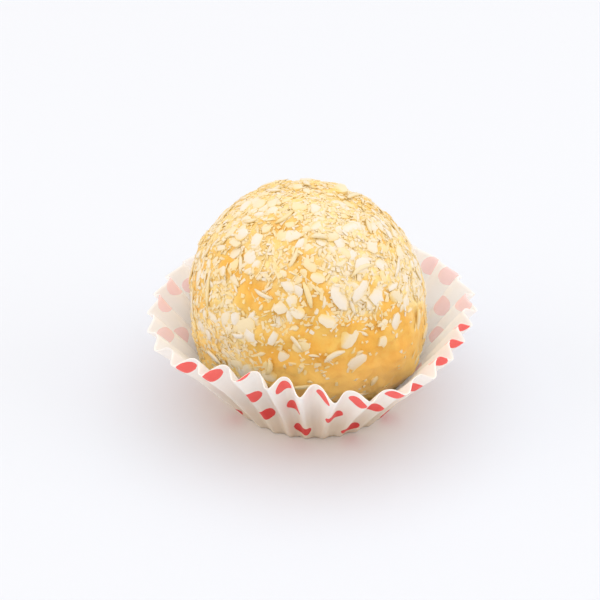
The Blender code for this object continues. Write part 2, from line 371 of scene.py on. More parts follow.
@dataclass(frozen=True)
class FudgeFinish:
    """Soft yellow-orange fudge that light sinks into, moist where it is bare."""

    amber: Triple = (0.83, 0.47, 0.070)
    yellow: Triple = (0.83, 0.56, 0.13)
    caramel: Triple = (0.78, 0.36, 0.040)
    powder: Triple = (0.93, 0.835, 0.44)
    painted_glow_colour: Triple = (0.98, 0.68, 0.23)
    painted_glow_heights: Pair = (0.0100, 0.0180)
    painted_light_share: Pair = (0.9, 0.0)
    yellow_clouds: Cloud = Cloud(0.0042, 3.0, (0.36, 0.66))
    flecks: Cloud = Cloud(0.0011, 4.0, (0.52, 0.72), (0.0, 0.5))
    covers: Pair = (0.48, 0.90)
    powdered: Pair = (0.0, 0.9)
    powder_grain: Cloud = Cloud(0.0008, 3.0, (0.34, 0.62), (0.45, 1.0))
    rough_grit: Cloud = Cloud(0.00045, 3.0, (0.3, 0.7), (0.34, 0.52))
    grit_depth: float = 0.00010
    light_share: float = 0.2
    light_depth: float = 0.0010
    light_colour: Triple = (1.0, 0.95, 0.85)
    gloss: float = 0.45

    def build(self) -> Material:
        """Makes the material: yellow clouds, caramel flecks, coconut powder and sugary grit.

        Low down it is painted warmer and lighter: painted light that stands in for the light
        coming to the fudge through the paper.

        Returns:
            The material.
        """
        recipe = Recipe("fudge")
        yellows = recipe.mix(recipe.clouds(self.yellow_clouds), self.amber, self.yellow)
        flecked = recipe.mix(recipe.clouds(self.flecks), yellows, self.caramel)
        # Painted light: low down the fudge is warmer and lighter, for light through the paper
        low = recipe.spread(recipe.height(), self.painted_glow_heights, self.painted_light_share)
        bare = recipe.mix(low, flecked, self.painted_glow_colour)
        covered = recipe.spread(recipe.attribute("cover"), self.covers, self.powdered)
        grains = recipe.clouds(self.powder_grain)
        powdered = recipe.combine(covered, Reckoning.TIMES, grains)
        grit = recipe.noise(self.rough_grit)
        recipe.bump(grit, self.grit_depth)
        recipe.set(
            Base_Color=recipe.mix(powdered, bare, self.powder),
            Roughness=recipe.spread(grit, self.rough_grit.ends, self.rough_grit.results),
            Subsurface_Weight=self.light_share,
            Subsurface_Scale=self.light_depth,
            Subsurface_Radius=self.light_colour,
            Specular_IOR_Level=self.gloss,
        )
        return recipe.material


@dataclass(frozen=True)
class CoconutFinish:
    """Grated coconut: white to cream pieces, a fudge smear and painted shade at their feet."""

    white: Triple = (0.80, 0.79, 0.73)
    cream: Triple = (0.84, 0.73, 0.43)
    stain_and_painted_shade: Triple = (0.86, 0.66, 0.24)
    fibre: Cloud = Cloud(0.00035, 2.0)
    fibre_depth: float = 0.00004
    roughness: float = 0.48
    gloss: float = 0.4

    def build(self) -> Material:
        """Makes the material: each piece's own tone, and fudge smear and painted shade at its foot.

        Returns:
            The material.
        """
        recipe = Recipe("grated coconut")
        tone = recipe.mix(recipe.attribute("tone"), self.cream, self.white)
        # Painted shade with a real fudge smear: each piece turns golden towards its foot
        recipe.set(Base_Color=recipe.mix(recipe.attribute("stain_and_painted_shade"), tone, self.stain_and_painted_shade))
        recipe.set(Roughness=self.roughness, Specular_IOR_Level=self.gloss)
        recipe.bump(recipe.noise(self.fibre), self.fibre_depth)
        return recipe.material


@dataclass(frozen=True)
class PaperFinish:
    """Thin white paper printed with coral dots, which show through paler on the inside."""

    paper: Triple = (0.90, 0.955, 1.0)
    painted_shade_and_glow: Triple = (0.95, 0.75, 0.58)
    ink: Triple = (0.96, 0.105, 0.10)
    ink_in_painted_shade: Triple = (0.78, 0.030, 0.030)
    shown_through: float = 0.42
    painted_shade_heights: Pair = (0.0040, 0.0160)
    dot_radius: float = 0.00152
    dot_edge: float = 0.00012
    dot_blur: float = 0.000048
    ragged: Cloud = Cloud(0.0007, 3.0)
    fibre: Cloud = Cloud(0.0007, 4.0)
    fibre_depth: float = 0.00003
    roughness: float = 0.5
    light_share: float = 0.8
    light_depth: float = 0.0007
    light_colour: Triple = (1.0, 0.95, 0.9)
    gloss: float = 0.35

    def build(self) -> Material:
        """Makes the material: ink within a dot's radius of the nearest dot's centre.

        Low on the outside, where the fudge stands close behind the paper, the paper is painted a
        darker, warmer tan: painted shade, with painted light of the fudge showing through. Low down
        the ink is painted darker too, as shade.

        Returns:
            The material.
        """
        recipe = Recipe("dotted paper")
        place = recipe.node("UVMap", uv_map=PaperCase.PRINT_MAP).outputs["UV"]
        away = recipe.node("VectorMath", {0: place}, operation="LENGTH").outputs["Value"]
        radii = (self.dot_radius - self.dot_edge, self.dot_radius + self.dot_edge)
        edge = recipe.spread(recipe.noise(self.ragged), self.ragged.ends, radii)
        within = recipe.combine(edge, Reckoning.LESS, away)
        dot = recipe.spread(within, (-self.dot_blur, self.dot_blur))
        outside = recipe.attribute("outside")
        strength = recipe.spread(outside, (0.0, 1.0), (self.shown_through, 1.0))
        printed = recipe.combine(dot, Reckoning.TIMES, strength)
        # Painted shade and light: a darker tan paper low outside, and darker ink low down
        low = recipe.spread(recipe.height(), self.painted_shade_heights, (1.0, 0.0))
        painted_light_share = recipe.combine(low, Reckoning.TIMES, outside)
        paper = recipe.mix(painted_light_share, self.paper, self.painted_shade_and_glow)
        ink = recipe.mix(low, self.ink, self.ink_in_painted_shade)
        recipe.bump(recipe.noise(self.fibre), self.fibre_depth)
        recipe.set(
            Base_Color=recipe.mix(printed, paper, ink),
            Roughness=self.roughness,
            Subsurface_Weight=self.light_share,
            Subsurface_Scale=self.light_depth,
            Subsurface_Radius=self.light_colour,
            Specular_IOR_Level=self.gloss,
        )
        return recipe.material


@dataclass(frozen=True)
class FloorFinish:
    """Plain near-white card."""

    colour: Triple = (0.718, 0.803, 0.908)
    roughness: float = 0.8
    gloss: float = 0.2

    def build(self) -> Material:
        """Makes the material: one pale colour, quite matt.

        Returns:
            The material.
        """
        recipe = Recipe("pale card")
        recipe.set(Base_Color=(*self.colour, 1.0), Roughness=self.roughness)
        recipe.set(Specular_IOR_Level=self.gloss)
        return recipe.material


# The ball of fudge


@dataclass(frozen=True)
class FudgeBall:
    """The ball of fudge without its coconut, resting in the case on a small flat foot."""

    radius: float = 0.0176
    offset: Pair = (-0.0009, 0.00025)
    bulge: float = 0.05
    bulge_axis: Triple = (-0.71, 0.44, 0.55)
    shoulders: tuple[Pair, ...] = ((206.0, -24.0), (334.0, -24.0))
    shoulder_fullness: float = 0.09
    shoulder_spread: float = 0.055
    flat_foot: float = 0.0006
    rest_height: float = 0.00065
    lumps: Waves = Waves(0.0110, 3)
    lump_height: float = 0.00010
    crumbs: Waves = Waves(0.0042, 5)
    crumb_height: float = 0.00016
    specks: Waves = Waves(0.0017, 11, 48)
    speck_height: float = 0.00006
    columns: int = 300
    rows: int = 150
    finish: FudgeFinish = FudgeFinish()

    def centre(self) -> Array:
        """Middle of the ball."""
        return np.array([*self.offset, self.rest_height + self.radius - self.flat_foot])

    def surface(self, directions: Array, fine: bool = False) -> Array:
        """Points of the ball's surface: the centre, plus each direction times a radius.

        The radius is made longer along the bulge's axis by the square of the direction's part
        along it, less its mean of a third, and about each shoulder by a bell curve of the angle
        away from it, with lumps and crumbs added. Where the ball rests, points are held at the
        height of the paper.

        Args:
            directions: Unit vectors, one to a row.
            fine: Whether the finest specks are added too.

        Returns:
            Places in metres.
        """
        along = directions @ unit(np.array(self.bulge_axis))
        points = directions * self.radius
        longer = self.bulge * (along**2 - 1.0 / 3.0)
        for shoulder in self.shoulders:
            near = directions @ direction_at(*shoulder) - 1.0
            longer = longer + self.shoulder_fullness * np.exp(near / self.shoulder_spread)
        radius = self.radius * (1.0 + longer)
        radius = radius + self.lump_height * self.lumps.height(points)
        radius = radius + self.crumb_height * self.crumbs.height(points)
        if fine:
            radius = radius + self.speck_height * self.specks.height(points)
        surface = self.centre() + directions * radius[..., None]
        surface[..., 2] = np.maximum(surface[..., 2], self.rest_height)
        return surface

    def build(self, cover_at: Callable[[Array], Array]) -> Piece:
        """Makes the ball's mesh from rings of directions between two poles, and dresses it.

        Args:
            cover_at: Gives how thick the coconut lies at each direction.

        Returns:
            The piece.
        """
        around = np.arange(self.columns) * FULL_TURN / self.columns
        down = np.arange(1, self.rows) * math.pi / self.rows
        down, around = np.meshgrid(down, around, indexing="ij")
        rings = places_round(np.sin(down), around, np.cos(down))
        poles = np.array([[0.0, 0.0, 1.0], [0.0, 0.0, -1.0]])
        directions = np.concatenate((rings.reshape(-1, 3), poles))
        faces = ring_faces(self.rows - 1, self.columns)
        mesh = build_mesh("fudge", self.surface(directions, fine=True), faces, Shading.SOFT)
        add_attribute(mesh, "cover", cover_at(directions))
        return add_piece(mesh, self.finish.build(), Node.BALL)


# The coconut


@dataclass(frozen=True)
class Scatter:
    """One kind of coconut piece spread over the ball: how it is drawn, how it lies, its sizes.

    A kind with a thinning seed loses pieces where the coating is thin.
    """

    count: int
    seed: int
    first_turn: float
    tilt: float
    raised: float
    shape_draws: int
    lengths: Span
    widths: Span
    thinning_seed: int | None = None

    def sizes(self, shares: Array) -> tuple[Array, Array]:
        """Lengths and widths, by each piece's first two shares."""
        return self.lengths.at(shares[:, 0]), self.widths.at(shares[:, 1])


@dataclass(frozen=True)
class FlakeForm:
    """Form of a flat broken flake. Its rings are given as (share of the outline, height)."""

    sides: int = 10
    outline_seed: int = 54
    outline_step: float = 0.25
    reach: Span = Span(0.72, 1.2)
    full_size: float = 0.0024
    rings: tuple[Pair, ...] = ((0.78, 0.00013), (1.0, 0.00003), (0.97, -0.00036))
    poles: Pair = (0.00015, -0.00036)
    cupped: float = 12.0
    arched: float = 18.0

    def finer(self, corners: Array) -> Array:
        """Outlines with more points than they were drawn with, each new point moved a little.

        A new point lies between the two old ones next to it, by its share of the way from one
        to the other, plus a random step.

        Args:
            corners: Share of the reach of each old point, one outline to a row.

        Returns:
            Share of the reach of each new point.
        """
        count = corners.shape[1]
        place = np.arange(self.sides) * count / self.sides
        before = place.astype(int)
        share = place - before
        between = corners[:, before] * (1.0 - share) + corners[:, (before + 1) % count] * share
        draw = np.random.RandomState(self.outline_seed)
        steps = draw.uniform(-self.outline_step, self.outline_step, between.shape)
        return np.clip(between + steps, 0.0, 1.0)

    def shapes(self, lengths: Array, widths: Array, corners: Array) -> Form:
        """Flat flakes, cupped across and arched along by the squares of their two places.

        A point of the outline stands at half the length times the cosine of its angle and half
        the width times its sine, both times its reach. The outline is repeated at each ring's
        height, and a middle point closes each side. Small flakes are thinner in step.

        Args:
            lengths: Length of each flake.
            widths: Width of each flake.
            corners: Share of the reach of each outline point, from 0 to 1.

        Returns:
            The vertices as (flakes, vertices, 3), and the faces of one flake.
        """
        angles = np.arange(self.sides) * FULL_TURN / self.sides
        reach = self.reach.at(corners)
        x = lengths[:, None] / 2.0 * reach * np.cos(angles)
        y = widths[:, None] / 2.0 * reach * np.sin(angles)
        thin = np.minimum(lengths, self.full_size)[:, None] / self.full_size
        parts = []
        for taper, height in self.rings:
            dish = self.cupped * (y * taper) ** 2 - self.arched * (x * taper) ** 2
            parts.append(np.stack((x * taper, y * taper, height * thin + dish), axis=-1))
        zeros = np.zeros_like(thin)
        parts += [np.stack((zeros, zeros, height * thin), axis=-1) for height in self.poles]
        return np.concatenate(parts, axis=1), ring_faces(len(self.rings), self.sides)


@dataclass(frozen=True)
class ShredForm:
    """Form of a grated strip. Its corners are shares of half the width and half the height."""

    sections: int = 5
    corners: tuple[Pair, ...] = ((-1.0, -1.0), (1.0, -1.0), (0.8, 1.0), (-0.8, 1.0))
    thickness: float = 0.38
    narrowed: float = 0.35
    end_narrowed: float = 0.45

    def shapes(
        self, lengths: Array, widths: Array, arches: Array, sways: Array, twists: Array
    ) -> Form:
        """Strips of four-cornered sections.

        With s from -1 to 1 along the strip, a section lies at half the length times s, is
        swayed sideways and lowered by the square of s, and twisted in step with s. It is
        narrowed by a share of the square of s, and close to the ends by one of its 16th power.

        Args:
            lengths: Length of each shred.
            widths: Width of each shred.
            arches: How far the ends drop below the middle.
            sways: How far the ends stand to one side.
            twists: Turn of the far end about the strip's length, in radians.

        Returns:
            The vertices as (shreds, vertices, 3), and the faces of one shred.
        """
        share = np.linspace(-1.0, 1.0, self.sections)[None, :]
        squared = share**2
        x = lengths[:, None] / 2.0 * share
        narrowed = (1.0 - self.narrowed * squared) * (1.0 - self.end_narrowed * squared**8)
        half_width = widths[:, None] / 2.0 * narrowed
        angle = twists[:, None] * share
        rings = []
        for side, level in self.corners:
            across = side * half_width
            up = level * half_width * self.thickness
            y = across * np.cos(angle) - up * np.sin(angle) + sways[:, None] * squared
            z = across * np.sin(angle) + up * np.cos(angle) - arches[:, None] * squared
            rings.append(np.stack((x, y, z), axis=-1))
        shapes = np.stack(rings, axis=2).reshape(len(lengths), -1, 3)
        # A section's corners run the other way round than a ring of band_faces
        sides = band_faces(self.sections, len(self.corners))[:, [0, 3, 2, 1]]
        first = np.arange(len(self.corners))
        last = first + (self.sections - 1) * len(first)
        return shapes, [np.concatenate((sides, [first[::-1], last]))]


@dataclass(frozen=True)
class GrainForm:
    """Form of a grain, a small block whose corners are moved by shares of its size."""

    heights: Span = Span(0.00013, 0.00026)
    moved: Span = Span(-0.23, 0.23)
    signs: Pair = (-0.5, 0.5)
    sides: tuple[tuple[int, ...], ...] = (
        (0, 2, 3, 1), (4, 5, 7, 6), (0, 1, 5, 4), (2, 6, 7, 3), (0, 4, 6, 2), (1, 3, 7, 5)
    )

    def shapes(self, kind: Scatter, shares: Array) -> Form:
        """Blocks: each corner stands half the size from the middle, plus its own small move.

        Args:
            kind: Gives the lengths and widths.
            shares: Of each grain's 8 corner moves, and then of its sizes.

        Returns:
            The vertices as (grains, vertices, 3), and the faces of one grain.
        """
        signs = np.array([(x, y, z) for z in self.signs for y in self.signs for x in self.signs])
        moves = self.moved.at(shares[:, : signs.size].reshape(-1, *signs.shape))
        shares = shares[:, signs.size :]
        sizes = np.stack((*kind.sizes(shares), self.heights.at(shares[:, 2])), axis=1)
        return (signs + moves) * sizes[:, None, :], [np.array(self.sides)]


@dataclass
class Seats:
    """Where the pieces of one kind sit, as arrays with one row for each piece."""

    directions: Array
    turns: Array
    tips: Array
    raised: Array
    shares: Array | None = None

    def kept(self, keep: Array) -> "Seats":
        """The seats that a mask keeps."""
        return Seats(*(getattr(self, item.name)[keep] for item in fields(self)))

    @staticmethod
    def joined(*groups: "Seats") -> "Seats":
        """All seats of several groups, in their order, without their shares."""
        rows = zip(*((group.directions, group.turns, group.tips, group.raised) for group in groups))
        return Seats(*map(np.concatenate, rows))

    def axes(self) -> Array:
        """Each piece's own X, Y and Z axes, as the columns of a matrix.

        Z starts along the direction and X due east of it. Both are turned round the direction,
        and then Y and Z are tipped about X.

        Returns:
            One matrix for each piece.
        """
        up = self.directions
        east = unit(np.stack((-up[:, 1], up[:, 0], np.zeros(len(up))), axis=1))
        north = np.cross(up, east)
        cos_turn, sin_turn = np.cos(self.turns)[:, None], np.sin(self.turns)[:, None]
        cos_tip, sin_tip = np.cos(self.tips)[:, None], np.sin(self.tips)[:, None]
        along = cos_turn * east + sin_turn * north
        level = cos_turn * north - sin_turn * east
        across = cos_tip * level + sin_tip * up
        outward = cos_tip * up - sin_tip * level
        return np.stack((along, across, outward), axis=-1)


@dataclass(frozen=True)
class Patch:
    """A round place on the ball where the coconut lies thicker, or thinner, than elsewhere."""

    degrees_round: float
    degrees_up: float
    reach: float
    change: float

    def share(self, directions: Array) -> Array:
        """The change at each direction: it falls off as a bell curve with the angle away."""
        away = 2.0 * (1.0 - directions @ direction_at(self.degrees_round, self.degrees_up))
        return self.change * np.exp(-away / math.radians(self.reach) ** 2)


@dataclass(frozen=True)
class CoconutCoating:
    """Desiccated coconut on the ball: fine grains, grated shreds and broken flakes.

    A flake of the front is given as (degrees round, degrees up, length, width, degrees turned),
    the widths of other flakes as shares of their length, and tones as (seed, weight of white,
    weight of cream) of a beta distribution.
    """

    ball: FudgeBall
    lowest: float = 142.0
    stray: float = 0.35
    bare_patch: Triple = (0.81, -0.55, -0.20)
    bare_patch_cosine: float = 0.90
    bare_patch_keeps: float = 0.2
    drifts: Waves = Waves(0.0090, 21)
    drift_change: float = 0.12
    cover: float = 0.51
    thicker_up: float = 0.30
    patches: tuple[Patch, ...] = (
        Patch(266.0, -6.0, 22.0, -0.40), Patch(300.0, 0.0, 20.0, -0.40),
        Patch(216.0, 38.0, 8.0, -0.35), Patch(236.0, 25.0, 9.0, -0.36),
        Patch(252.0, 25.0, 9.0, -0.36), Patch(276.0, 30.0, 7.0, -0.40),
        Patch(263.0, 40.0, 9.0, -0.20), Patch(291.0, 13.0, 8.0, -0.50),
        Patch(304.0, 33.0, 6.0, -0.50), Patch(335.0, 43.0, 7.0, -0.35),
        Patch(295.0, 42.0, 9.0, 0.60), Patch(302.0, 25.0, 7.0, 0.60),
        Patch(283.0, 19.0, 7.0, 0.50), Patch(344.0, 22.0, 17.0, 0.55),
        Patch(235.0, 10.0, 9.0, 0.40), Patch(210.0, -1.0, 9.0, 0.45),
        Patch(229.0, -8.0, 12.0, 0.32), Patch(306.0, 59.0, 14.0, 0.35),
    )
    front_flakes: tuple[tuple[float, ...], ...] = (
        (210.0, 52.0, 0.0027, 0.0020, 10.0), (257.0, 37.0, 0.0028, 0.0017, 150.0),
        (287.0, 31.0, 0.0042, 0.0029, 115.0), (301.0, 31.0, 0.0036, 0.0020, 40.0),
        (240.0, 16.0, 0.0031, 0.0021, 85.0), (231.0, 15.0, 0.0025, 0.0017, 100.0),
        (317.0, 10.0, 0.0027, 0.0023, 60.0), (294.0, -4.0, 0.0032, 0.0028, 30.0),
        (205.0, -3.0, 0.0036, 0.0026, 15.0), (323.0, 38.0, 0.0029, 0.0022, 140.0),
        (299.0, 57.0, 0.0026, 0.0020, 75.0), (308.0, 42.0, 0.0028, 0.0022, 5.0),
    )
    front_seed: int = 7
    front_corners: int = 6
    front_tip: float = 0.10
    front_tone: float = 0.95
    flakes: Scatter = Scatter(
        30, 8, 0.4, 0.20, 0.00008, 8, Span(0.0020, 0.0036), Span(0.55, 1.0)
    )
    chips: Scatter = Scatter(
        1150, 31, 2.2, 0.11, 0.00001, 12, Span(0.0009, 0.0029, 1.5), Span(0.45, 0.95), 41
    )
    shreds: Scatter = Scatter(
        74, 8, 1.7, 0.10, 0.00022, 4, Span(0.0022, 0.0047), Span(0.0005525, 0.000935)
    )
    strands: Scatter = Scatter(
        3200, 33, 0.9, 0.10, 0.0, 6, Span(0.0008, 0.0028, 1.8), Span(0.00020, 0.00060, 1.3), 42
    )
    grains: Scatter = Scatter(
        7600, 35, 5.1, 0.16, -0.00001, 27, Span(0.00032, 0.00120, 1.7), Span(0.00022, 0.00058), 43
    )
    arches: Span = Span(0.6, 1.4)
    sways: Span = Span(-0.14, 0.14)
    twists: Span = Span(-0.9, 0.9)
    flake_form: FlakeForm = FlakeForm()
    shred_form: ShredForm = ShredForm()
    grain_form: GrainForm = GrainForm()
    flake_tones: Tones = (51, 1.5, 0.9)
    shred_tones: Tones = (52, 1.3, 1.0)
    grain_tones: Tones = (53, 1.1, 1.1)
    whiter_patches: float = 0.45
    stain_and_shade_heights: Pair = (-0.00004, 0.00016)
    finish: CoconutFinish = CoconutFinish()

    def seats(self, scatter: Scatter) -> Seats:
        """Spreads one kind evenly over the ball by the golden angle, each moved a little.

        The height of direction number i falls evenly from the top pole to the lowest ring, and
        its angle grows by the golden angle each time.

        Args:
            scatter: The kind.

        Returns:
            The seats of those that stick.
        """
        draw = np.random.RandomState(scatter.seed)
        lowest = math.cos(math.radians(self.lowest))
        order = np.arange(scatter.count)
        height = 1.0 - (1.0 - lowest) * (order + 0.5) / scatter.count
        turn = scatter.first_turn + GOLDEN_ANGLE * order
        even = places_round(np.sqrt(1.0 - height * height), turn, height)
        strays = draw.normal(0.0, self.stray / math.sqrt(scatter.count), (scatter.count, 3))
        directions = unit(even + strays)
        turns = draw.uniform(0.0, FULL_TURN, scatter.count)
        tips = draw.normal(0.0, scatter.tilt, scatter.count)
        chances = draw.uniform(0.0, 1.0, scatter.count)
        shares = draw.uniform(0.0, 1.0, (scatter.count, scatter.shape_draws))
        raised = np.full(scatter.count, scatter.raised)
        seats = Seats(directions, turns, tips, raised, shares)
        seats = seats.kept(self.sticks(directions, chances))
        if scatter.thinning_seed is None:
            return seats
        chances = np.random.RandomState(scatter.thinning_seed).uniform(0.0, 1.0, len(seats.turns))
        return seats.kept(chances < self.cover_at(seats.directions))

    def front_seats(self) -> Seats:
        """Seats of the flakes of the front.

        Returns:
            The seats, with shares for the points of their outlines.
        """
        rows = np.array(self.front_flakes)
        draw = np.random.RandomState(self.front_seed)
        return Seats(
            np.stack([direction_at(*row) for row in rows[:, :2]]),
            np.radians(rows[:, 4]),
            np.full(len(rows), self.front_tip),
            np.full(len(rows), self.flakes.raised),
            draw.uniform(0.0, 1.0, (len(rows), self.front_corners)),
        )

    def sticks(self, directions: Array, chances: Array) -> Array:
        """Whether each piece sticks: most of the bare patch at the lower right has none."""
        near = directions @ unit(np.array(self.bare_patch))
        return (near < self.bare_patch_cosine) | (chances < self.bare_patch_keeps)

    def local_change(self, directions: Array) -> Array:
        """Sum of what all patches change at each direction."""
        return sum(patch.share(directions) for patch in self.patches)

    def cover_at(self, directions: Array) -> Array:
        """How thick the coconut lies: a base, plus a share of the height, drifts and patches.

        Args:
            directions: Unit vectors, one to a row.

        Returns:
            The chance that a small piece stays at each, near 0 for bare and 1 for full.
        """
        cover = self.cover + self.thicker_up * directions[:, 2]
        cover = cover + self.drift_change * self.drifts.height(directions * self.ball.radius)
        return cover + self.local_change(directions)

    def dress(
        self, name: str, form: Form, seats: Seats, tones: Tones, shading: Shading, fronts: int = 0
    ) -> Piece:
        """Puts shapes on their seats, as one mesh of one kind of piece.

        Args:
            name: Name of the piece.
            form: Each one's vertices on its own axes, and the faces of one.
            seats: Where they sit.
            tones: How cream or white they are, before they are made whiter in thick patches.
            shading: How the faces meet.
            fronts: How many of the first ones have the tone of the front's flakes.

        Returns:
            The piece.
        """
        shapes, faces = form
        count, corners = shapes.shape[:2]
        places = self.ball.surface(seats.directions) + seats.directions * seats.raised[:, None]
        points = places[:, None, :] + np.einsum("nij,nvj->nvi", seats.axes(), shapes)
        steps = (np.arange(count) * corners)[:, None, None]
        groups = [(group[None] + steps).reshape(-1, group.shape[1]) for group in faces]
        mesh = build_mesh(name, points.reshape(-1, 3), groups, shading)
        seed, white, cream = tones
        tone = np.random.RandomState(seed).beta(white, cream, count)
        tone[:fronts] = self.front_tone
        tone = tone + self.whiter_patches * self.local_change(seats.directions)
        add_attribute(mesh, "tone", np.repeat(np.clip(tone, 0.0, 1.0), corners))
        # Fudge smear and painted shade: full at each piece's foot, gone by the heights above it
        centre = self.ball.centre()
        out = np.linalg.norm(points - centre, axis=-1)
        foot = np.linalg.norm(places - centre, axis=-1)[:, None]
        add_attribute(mesh, "stain_and_painted_shade", (1.0 - smooth_step(*self.stain_and_shade_heights, out - foot)).ravel())
        return add_piece(mesh, self.finish.build(), Node.BALL)

    def build_flakes(self) -> Piece:
        """Makes the broken flakes: those of the front, those spread wide, and many small chips.

        Returns:
            The piece.
        """
        front, wide, small = self.front_seats(), self.seats(self.flakes), self.seats(self.chips)
        sizes = [np.array(self.front_flakes)[:, 2:4].T]
        for kind, seats in ((self.flakes, wide), (self.chips, small)):
            length, width = kind.sizes(seats.shares)
            sizes.append((length, length * width))
        lengths, widths = np.concatenate(sizes, axis=1)
        drawn = np.concatenate((front.shares, wide.shares[:, 2:]))
        corners = np.concatenate((self.flake_form.finer(drawn), small.shares[:, 2:]))
        form = self.flake_form.shapes(lengths, widths, corners)
        seats = Seats.joined(front, wide, small)
        fronts = len(front.turns)
        return self.dress("coconut_flakes", form, seats, self.flake_tones, Shading.EDGED, fronts)

    def build_shreds(self) -> Piece:
        """Makes the grated shreds: the long ones spread wide, and many fine strands.

        A shred follows the ball: its ends drop by about its length squared over 8 radii.

        Returns:
            The piece.
        """
        wide, fine = self.seats(self.shreds), self.seats(self.strands)
        sizes = (self.shreds.sizes(wide.shares), self.strands.sizes(fine.shares))
        lengths, widths = np.concatenate(sizes, axis=1)
        shares = np.concatenate((wide.shares[:, 2:], fine.shares[:, 2:4]))
        arches = self.arches.at(shares[:, 0]) * lengths**2 / (8.0 * self.ball.radius)
        sways = self.sways.at(shares[:, 1]) * lengths
        twists = np.concatenate((np.zeros(len(wide.turns)), self.twists.at(fine.shares[:, 4])))
        form = self.shred_form.shapes(lengths, widths, arches, sways, twists)
        seats = Seats.joined(wide, fine)
        return self.dress("coconut_shreds", form, seats, self.shred_tones, Shading.SOFT)

    def build_grains(self) -> Piece:
        """Makes the fine grains, which fill the spaces between the larger pieces.

        Returns:
            The piece.
        """
        seats = self.seats(self.grains)
        form = self.grain_form.shapes(self.grains, seats.shares)
        return self.dress("coconut_grains", form, seats, self.grain_tones, Shading.EDGED)

    def build(self) -> list[Piece]:
        """Makes the three kinds of piece."""
        return [self.build_flakes(), self.build_shreds(), self.build_grains()]


# The paper case


